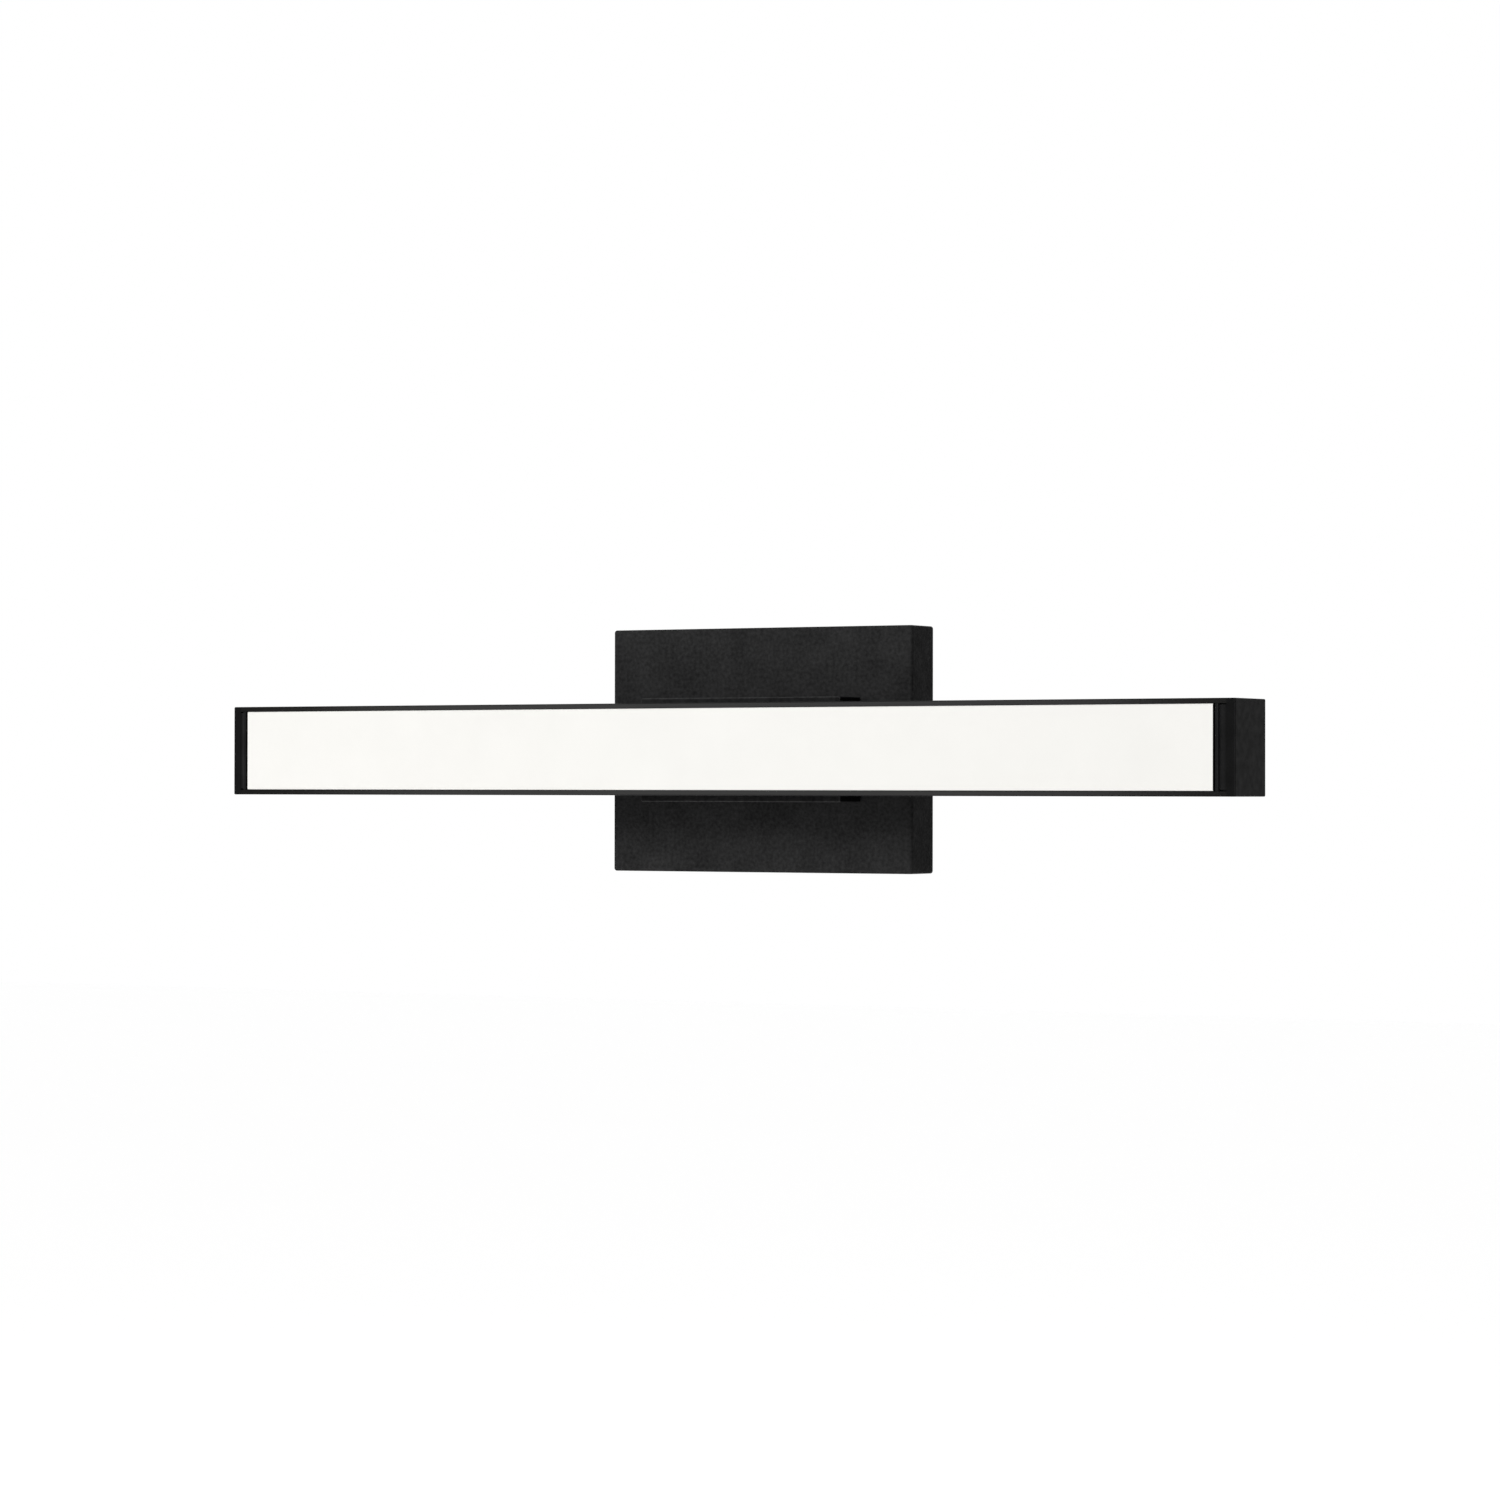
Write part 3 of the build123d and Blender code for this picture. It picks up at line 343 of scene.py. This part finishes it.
def make_materials():
    along_bar = (0.02, 1.0, 1.0)
    block_low, block_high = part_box("standoff_block")
    diffuser_low, diffuser_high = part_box("diffuser")
    diffuser_face = diffuser_high[2] - SNAP_HOOK
    housing_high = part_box("bar_housing")[1]
    cap_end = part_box("end_cap_right")[1][0]
    return {
        "powder_black": powder_coat("powder_black", 0.0236, Specular_IOR_Level=0.014).material,
        "block_black": block_coat(block_high[0], -block_low[1]),
        "housing_black": painted_extrusion(-housing_high[1]),
        "cap_black": cap_finish(housing_high[0], cap_end),
        "screw_black": plated("screw_black", (0.040, 0.040, 0.042), (0.38, 0.55)),
        "opal": opal_acrylic(diffuser_high[0], diffuser_face, -diffuser_low[1]),
        "zinc_steel": plated("zinc_steel", (0.60, 0.61, 0.63), stretch=(0.05, 1.0, 1.0)),
        "brass": plated("brass", (0.72, 0.52, 0.22)),
        "green_screw": plated("green_screw", (0.05, 0.33, 0.13), (0.28, 0.42)),
        "tinned_copper": plated("tinned_copper", (0.74, 0.71, 0.66)),
        "bushing_nylon": moulded("bushing_nylon", (0.016, 0.016, 0.017), (0.36, 0.5)),
        "tray_aluminium": plated("tray_aluminium", (0.72, 0.73, 0.74), (0.3, 0.45), stretch=along_bar),
        "board_white": circuit_board("board_white", (0.80, 0.80, 0.77), (0.74, 0.74, 0.70)),
        "led_phosphor": moulded("led_phosphor", (0.86, 0.68, 0.16), (0.2, 0.3)),
        "led_body": moulded("led_body", (0.80, 0.80, 0.78), (0.3, 0.4)),
        "connector_white": moulded("connector_white", (0.76, 0.74, 0.68), (0.32, 0.46)),
        "reflector_white": moulded("reflector_white", (0.84, 0.84, 0.82), (0.5, 0.65)),
        "driver_white": moulded("driver_white", (0.72, 0.72, 0.69), (0.42, 0.58), relief=0.00006),
        "driver_green": circuit_board("driver_green", (0.03, 0.20, 0.07), (0.06, 0.30, 0.11)),
        "component_dark": moulded("component_dark", (0.035, 0.035, 0.04), (0.3, 0.45)),
        "lead_white": insulation("lead_white", (0.76, 0.76, 0.73)),
        "lead_black": insulation("lead_black", (0.012, 0.012, 0.013)),
        "lead_green": insulation("lead_green", (0.03, 0.34, 0.08)),
        "lead_red": insulation("lead_red", (0.50, 0.02, 0.02)),
    }


def dress_cad_nodes(materials):
    """Give each carried-over CAD node the material of its slot in the record."""
    for part in frame["record"]["subparts"]:
        node = frame["nodes"][part["node"]]
        material = materials[part["material_slot"]]
        if not node.material_slots:
            node.data.materials.append(material)
        for slot in node.material_slots:
            slot.material = material
    frame["nodes"]["standoff_block"].material_slots[0].material = materials["block_black"]


# ---------------------------------------------------------------- small pieces

ROUND_STEPS = 32
THREAD_STEPS = 20
RINGS_PER_PITCH = 6
THREAD_DEPTH = 0.6             # of its pitch
TIP_TAPER = 0.5
SHARP_ANGLE = math.radians(32)
M3 = {"shank": 0.0015, "head": 0.0027, "height": 0.0019, "pitch": 0.0005, "nut": 0.0055, "nut_height": 0.0024}
M4 = {"shank": 0.0020, "head": 0.0038, "height": 0.0024, "pitch": 0.0007, "nut": 0.0070, "nut_height": 0.0032}


def bridge_rings(bm, rings):
    """Join rings of vertices that follow each other; a ring of one vertex closes to a point."""
    for lower, upper in zip(rings, rings[1:]):
        steps = max(len(lower), len(upper))
        for i in range(steps):
            j = (i + 1) % steps
            below, above = len(lower), len(upper)
            around = (lower[i % below], lower[j % below], upper[j % above], upper[i % above])
            bm.faces.new(list(dict.fromkeys(around)))


def spun(profile):
    """Solid of revolution about z from (radius, z) points that start and end on the axis."""
    bm = bmesh.new()
    rings = []
    for radius, z in profile:
        steps = ROUND_STEPS if radius else 1
        turns = [2 * math.pi * i / steps for i in range(steps)]
        rings.append([bm.verts.new((radius * math.cos(t), radius * math.sin(t), z)) for t in turns])
    bridge_rings(bm, rings)
    bmesh.ops.recalc_face_normals(bm, faces=bm.faces)
    return bm


def threaded_rod(size, length):
    """Shank with a cut thread along +z from z = 0, and a short lead-in at its tip."""
    bm = bmesh.new()
    depth = THREAD_DEPTH * size["pitch"]
    count = int(length / size["pitch"] * RINGS_PER_PITCH)
    rings = [[bm.verts.new((0, 0, 0))]]
    for k in range(count + 1):
        z = length * k / count
        lead_in = max(0.0, z - (length - size["pitch"]))
        ring = []
        for i in range(THREAD_STEPS):
            turn = i / THREAD_STEPS
            phase = (z / size["pitch"] - turn) % 1.0
            radius = size["shank"] - depth * abs(2 * phase - 1) - TIP_TAPER * lead_in
            angle = 2 * math.pi * turn
            ring.append(bm.verts.new((radius * math.cos(angle), radius * math.sin(angle), z)))
        rings.append(ring)
    rings.append([bm.verts.new((0, 0, length))])
    bridge_rings(bm, rings)
    bmesh.ops.recalc_face_normals(bm, faces=bm.faces)
    return bm


def prism(corner_points, low, high):
    """Upright prism over a flat outline of (x, y) points."""
    bm = bmesh.new()
    rings = [[bm.verts.new((x, y, z)) for x, y in corner_points] for z in (low, high)]
    bridge_rings(bm, rings)
    bm.faces.new(rings[0])
    bm.faces.new(rings[1])
    bmesh.ops.recalc_face_normals(bm, faces=bm.faces)
    return bm


def rectangle(width, height):
    """Corners of a rectangle around the origin."""
    x, y = width / 2, height / 2
    return [(-x, -y), (x, -y), (x, y), (-x, y)]


def bare_object(bm):
    """Object that holds a bmesh and isn't in the scene yet."""
    mesh = bpy.data.meshes.new("part")
    bm.to_mesh(mesh)
    bm.free()
    return bpy.data.objects.new("part", mesh)


def carved(bm, cutters, operation="DIFFERENCE"):
    """The solid after the cutters are taken off it, or after it is trimmed to them."""
    target = bare_object(bm)
    bpy.context.collection.objects.link(target)
    tools = [bare_object(cutter) for cutter in cutters]
    for tool in tools:
        bpy.context.collection.objects.link(tool)
        modifier = target.modifiers.new("cut", "BOOLEAN")
        modifier.operation = operation
        modifier.solver = "EXACT"
        modifier.object = tool
    shape = target.evaluated_get(bpy.context.evaluated_depsgraph_get())
    result = bmesh.new()
    result.from_mesh(shape.data)
    for item in [target] + tools:
        bpy.data.objects.remove(item)
    return result


def joined(parts):
    """One bmesh from (bmesh, matrix, material index) entries; each bmesh may be used many times."""
    whole = bmesh.new()
    for bm, matrix, index in parts:
        copy = bm.copy()
        copy.transform(matrix)
        for face in copy.faces:
            face.material_index = index
        mesh = bpy.data.meshes.new("copy")
        copy.to_mesh(mesh)
        copy.free()
        whole.from_mesh(mesh)
        bpy.data.meshes.remove(mesh)
    return whole


def add_piece(name, bm, slot, materials, *replaced):
    """Put a finished shape into the scene as a piece that rides on the light."""
    mesh = bpy.data.meshes.new(name)
    bm.to_mesh(mesh)
    bm.free()
    mesh.shade_smooth()
    mesh.set_sharp_from_angle(angle=SHARP_ANGLE)
    for material in materials:
        mesh.materials.append(material)
    piece = bpy.data.objects.new(name, mesh)
    bpy.context.collection.objects.link(piece)
    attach(piece, "root")
    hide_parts(*replaced)


def pan_head(size):
    """Domed head with a cross recess; its underside is at z = 0 and its top at -height."""
    radius, height = size["head"], size["height"]
    profile = [(0, 0), (radius, 0), (radius, -0.35 * height)]
    for step in range(1, 6):
        angle = math.radians(15 * step)
        profile.append((radius * (0.62 + 0.38 * math.cos(angle)), -height * (0.35 + 0.57 * math.sin(angle))))
    profile += [(0.45 * radius, -0.985 * height), (0, -height)]
    arm, width, floor = 1.15 * radius, 0.27 * radius, -0.42 * height
    arms = [prism(rectangle(*size_xy), -1.2 * height, floor) for size_xy in ((arm, width), (width, arm))]
    return carved(spun(profile), arms)


def screw(size, length):
    """Screw whose head's underside is at z = 0 and whose tip is at the length."""
    identity = Matrix.Identity(4)
    return joined([(pan_head(size), identity, 0), (threaded_rod(size, length), identity, 0)])


def hex_nut(size):
    """Nut on z = 0, with its corners turned off above and below."""
    width, height, bore = size["nut"], size["nut_height"], size["shank"]
    corner = width / math.sqrt(3)
    turns = [math.radians(60 * i) for i in range(6)]
    hexagon = [(corner * math.cos(turn), corner * math.sin(turn)) for turn in turns]
    flat = width / 2
    drop = (corner - flat) * math.tan(math.radians(30))
    turned = [(0, 0), (flat, 0), (corner, drop), (corner, height - drop), (flat, height), (0, height)]
    nut = carved(prism(hexagon, 0, height), [spun(turned)], "INTERSECT")
    return carved(nut, [spun([(0, -height), (bore, -height), (bore, 2 * height), (0, 2 * height)])])


def pointing(place, direction):
    """Matrix that puts a shape at a place with its own z along a direction."""
    return Matrix.Translation(place) @ Vector(direction).to_track_quat("Z", "Y").to_matrix().to_4x4()


def corner_places(node, inset, y):
    """Centres of four equal things at the corners of a node's box."""
    low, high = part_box(node)
    heights = (low[2] + inset, high[2] - inset)
    return [Vector((x, y, z)) for x in (low[0] + inset, high[0] - inset) for z in heights]


OUTWARD, WALLWARD = (0, -1, 0), (0, 1, 0)
EARS = {"driver_case": (0.009, 0.0020), "terminal_block": (0.008, 0.0024)}     # length and thickness
SIDE_SCREW_TIP = 0.0035        # how far a side screw reaches in from the strap's end
BOARD_SCREWS = 6


def add_screws(materials):
    """Fastening screws with cross recesses and threads, each where its CAD solid is."""
    zinc, black, green = (materials[slot] for slot in ("zinc_steel", "screw_black", "green_screw"))
    for node in ("standoff_screws", "bar_screws"):
        low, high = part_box(node)
        head_seat = high[1] - M4["height"]
        one = screw(M4, head_seat - low[1])
        places = corner_places(node, M4["head"], head_seat)
        shape = joined([(one, pointing(place, OUTWARD), 0) for place in places])
        add_piece(f"detailed_{node}", shape, "zinc_steel", [zinc], node)

    low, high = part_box("strap_ground_screw")
    seat = Vector(((low[0] + high[0]) / 2, low[1] + M4["height"], (low[2] + high[2]) / 2))
    shape = joined([(screw(M4, high[1] - seat.y), pointing(seat, WALLWARD), 0)])
    add_piece("detailed_strap_ground_screw", shape, "green_screw", [green], "strap_ground_screw")

    low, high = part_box("canopy_side_screws")
    pan_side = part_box("canopy_pan")[1][0]
    middle_y, middle_z = (low[1] + high[1]) / 2, (low[2] + high[2]) / 2
    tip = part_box("mounting_strap")[1][0] - SIDE_SCREW_TIP
    one = screw(M4, pan_side - tip)
    places = [pointing((side * pan_side, middle_y, middle_z), (-side, 0, 0)) for side in (-1, 1)]
    shape = joined([(one, place, 0) for place in places])
    add_piece("detailed_canopy_side_screws", shape, "screw_black", [black], "canopy_side_screws")

    low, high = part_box("board_screws")
    seat_y = low[1] + M3["height"]
    first, last = low[0] + M3["head"], high[0] - M3["head"]
    one = screw(M3, high[1] - seat_y)
    places = [Vector((first + (last - first) * i / (BOARD_SCREWS - 1), seat_y, (low[2] + high[2]) / 2))
              for i in range(BOARD_SCREWS)]
    shape = joined([(one, pointing(place, WALLWARD), 0) for place in places])
    add_piece("detailed_board_screws", shape, "zinc_steel", [zinc], "board_screws")


def add_nuts(materials):
    """Nuts on the four weld studs and on the earth stud."""
    nut, parts = hex_nut(M3), []
    for node, (length, thickness) in EARS.items():
        low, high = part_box(node)
        for x in (low[0] + length / 2, high[0] - length / 2):
            seat = (x, low[1] + thickness, (low[2] + high[2]) / 2)
            parts.append((nut, pointing(seat, WALLWARD), 0))
    add_piece("detailed_stud_nuts", joined(parts), "zinc_steel", [materials["zinc_steel"]], "stud_nuts")
    low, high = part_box("ground_nut")
    seat = ((low[0] + high[0]) / 2, low[1], (low[2] + high[2]) / 2)
    shape = joined([(hex_nut(M4), pointing(seat, WALLWARD), 0)])
    add_piece("detailed_ground_nut", shape, "zinc_steel", [materials["zinc_steel"]], "ground_nut")


LEDS = 60
LED_SIZE = (0.0035, 0.0028)
LED_EDGE = 0.00012
LED_WINDOW = 0.38              # half of the phosphor's size, as a share of the body's
LED_WINDOW_CORNER = 0.45       # 1 is an oval, 0 is a rectangle
LED_WINDOW_FLOOR = 0.8         # of the body's height
LED_WINDOW_GAP = 1.08          # the window's opening, as a share of the phosphor's size
LED_WINDOW_STEPS = 24


def add_led_packages(materials):
    """White bodies with a rounded phosphor window, evenly spaced along the board."""
    low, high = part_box("led_packages")
    height = high[1] - low[1]
    length, width = LED_SIZE
    body = prism(rectangle(length, width), 0, height)
    bmesh.ops.bevel(body, geom=body.edges[:], offset=LED_EDGE, segments=2, affect="EDGES", profile=0.5)
    window = []
    for i in range(LED_WINDOW_STEPS):
        turn = 2 * math.pi * i / LED_WINDOW_STEPS
        across, along = math.cos(turn), math.sin(turn)
        window.append((LED_WINDOW * length * math.copysign(abs(across) ** LED_WINDOW_CORNER, across),
                       LED_WINDOW * width * math.copysign(abs(along) ** LED_WINDOW_CORNER, along)))
    floor = height * LED_WINDOW_FLOOR
    phosphor = prism(window, floor, height)
    opening = [(LED_WINDOW_GAP * x, LED_WINDOW_GAP * z) for x, z in window]
    body = carved(body, [prism(opening, floor, height * 1.2)])
    first, last = low[0] + length / 2, high[0] - length / 2
    parts = []
    for i in range(LEDS):
        place = pointing((first + (last - first) * i / (LEDS - 1), high[1], (low[2] + high[2]) / 2), OUTWARD)
        parts += [(body, place, 0), (phosphor, place, 1)]
    add_piece("detailed_led_packages", joined(parts), "led_phosphor",
              [materials["led_body"], materials["led_phosphor"]], "led_packages")


# ---------------------------------------------------------------- stage and light

FLOOR_DROP = 0.90          # floor below the bar's middle
FLOOR_HALF = 14.0
WORLD_STRENGTH = 0.11      # what the white room adds to the lamps
FLOOR_GLOW = 0.86          # lifts the lit floor to the backdrop's white; a shadow still shows in it
FLOOR_LEVELS = 0.86, 0.88
LAMPS = (                  # name, place, width and height, radiance
    ("rail_softbox", (-1.12, -2.085, 0.02), (0.82, 0.50), 4.2),
    ("left_softbox", (-1.95, -1.75, 0.65), (0.90, 0.60), 9.0),
    ("upper_front", (-0.09, -2.62, 0.65), (0.90, 0.60), 3.8),
    ("upper_right", (0.87, -2.38, 0.92), (0.90, 0.60), 7.6),
    ("overhead", (-0.46, -2.16, 1.55), (1.00, 0.80), 3.3),
    ("low_left", (-0.46, -2.60, -0.56), (0.90, 0.50), 1.9),
    ("low_front", (0.0, -2.60, -0.74), (1.00, 0.50), 2.5),
    ("rear_fill", (-0.6, 2.6, 1.2), (2.0, 1.6), 3.2),
)
MIRRORED_LAMP = "rail_softbox"     # the only lamp that shows in glossy surfaces
WATTS_PER_RADIANCE = 4.0   # a lamp's power over its area, for each unit of radiance


def seen_or_mirrored(nodes, links):
    """1 for rays from the camera and for rays that metal or glass sends on, else 0."""
    path = nodes.new("ShaderNodeLightPath")
    total = path.outputs["Is Camera Ray"]
    for output in ("Is Glossy Ray", "Is Transmission Ray"):
        larger = nodes.new("ShaderNodeMath")
        larger.operation = "MAXIMUM"
        links.new(total, larger.inputs[0])
        links.new(path.outputs[output], larger.inputs[1])
        total = larger.outputs[0]
    return total


def add_world():
    """White to the camera and in reflections, and an even pale light on the object."""
    world = bpy.data.worlds.new("studio")
    bpy.context.scene.world = world
    world.use_nodes = True
    nodes, links = world.node_tree.nodes, world.node_tree.links
    light, white = nodes["Background"], nodes.new("ShaderNodeBackground")
    mix = nodes.new("ShaderNodeMixShader")
    for background, strength in ((light, WORLD_STRENGTH), (white, 1.0)):
        background.inputs["Color"].default_value = (1, 1, 1, 1)
        background.inputs["Strength"].default_value = strength
    links.new(seen_or_mirrored(nodes, links), mix.inputs["Fac"])
    links.new(light.outputs["Background"], mix.inputs[1])
    links.new(white.outputs["Background"], mix.inputs[2])
    links.new(mix.outputs["Shader"], nodes["World Output"].inputs["Surface"])


def add_floor():
    """Pale floor below the light."""
    bm = bmesh.new()
    bmesh.ops.create_grid(bm, x_segments=1, y_segments=1, size=FLOOR_HALF)
    floor = bare_object(bm)
    floor.name = "floor"
    floor.location = (0, 0, -FLOOR_DROP)
    bpy.context.collection.objects.link(floor)
    surface = Surface("floor_white", roughness=0.9, Specular_IOR_Level=0.1)
    darker, lighter = ((level, level, level) for level in FLOOR_LEVELS)
    surface.colour(surface.noise(0.8, 2), ((NOISE_LOW, darker), (NOISE_HIGH, lighter)))
    surface.shader.inputs["Emission Color"].default_value = (1, 1, 1, 1)
    glow = surface.nodes.new("ShaderNodeMath")
    glow.operation = "MULTIPLY"
    glow.inputs[1].default_value = FLOOR_GLOW
    surface.links.new(seen_or_mirrored(surface.nodes, surface.links), glow.inputs[0])
    surface.links.new(glow.outputs[0], surface.shader.inputs["Emission Strength"])
    floor.data.materials.append(surface.material)


def add_lamps(target):
    """Soft lamps, all turned to the middle of the bar's front."""
    for name, place, (along, across), radiance in LAMPS:
        data = bpy.data.lights.new(name, "AREA")
        data.shape = "RECTANGLE"
        data.size, data.size_y = along, across
        data.energy = WATTS_PER_RADIANCE * along * across * radiance
        lamp = bpy.data.objects.new(name, data)
        lamp.location = place
        lamp.rotation_euler = (Vector(target) - Vector(place)).to_track_quat("-Z", "Y").to_euler()
        lamp.visible_glossy = name == MIRRORED_LAMP
        bpy.context.collection.objects.link(lamp)


# ---------------------------------------------------------------- build

bar_front_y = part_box("bar_housing")[0][1]
add_camera(bar_front_y)
materials = make_materials()
dress_cad_nodes(materials)
add_screws(materials)
add_nuts(materials)
add_led_packages(materials)
add_world()
add_floor()
add_lamps((0, bar_front_y, 0))
bpy.context.scene.view_settings.view_transform = "Standard"
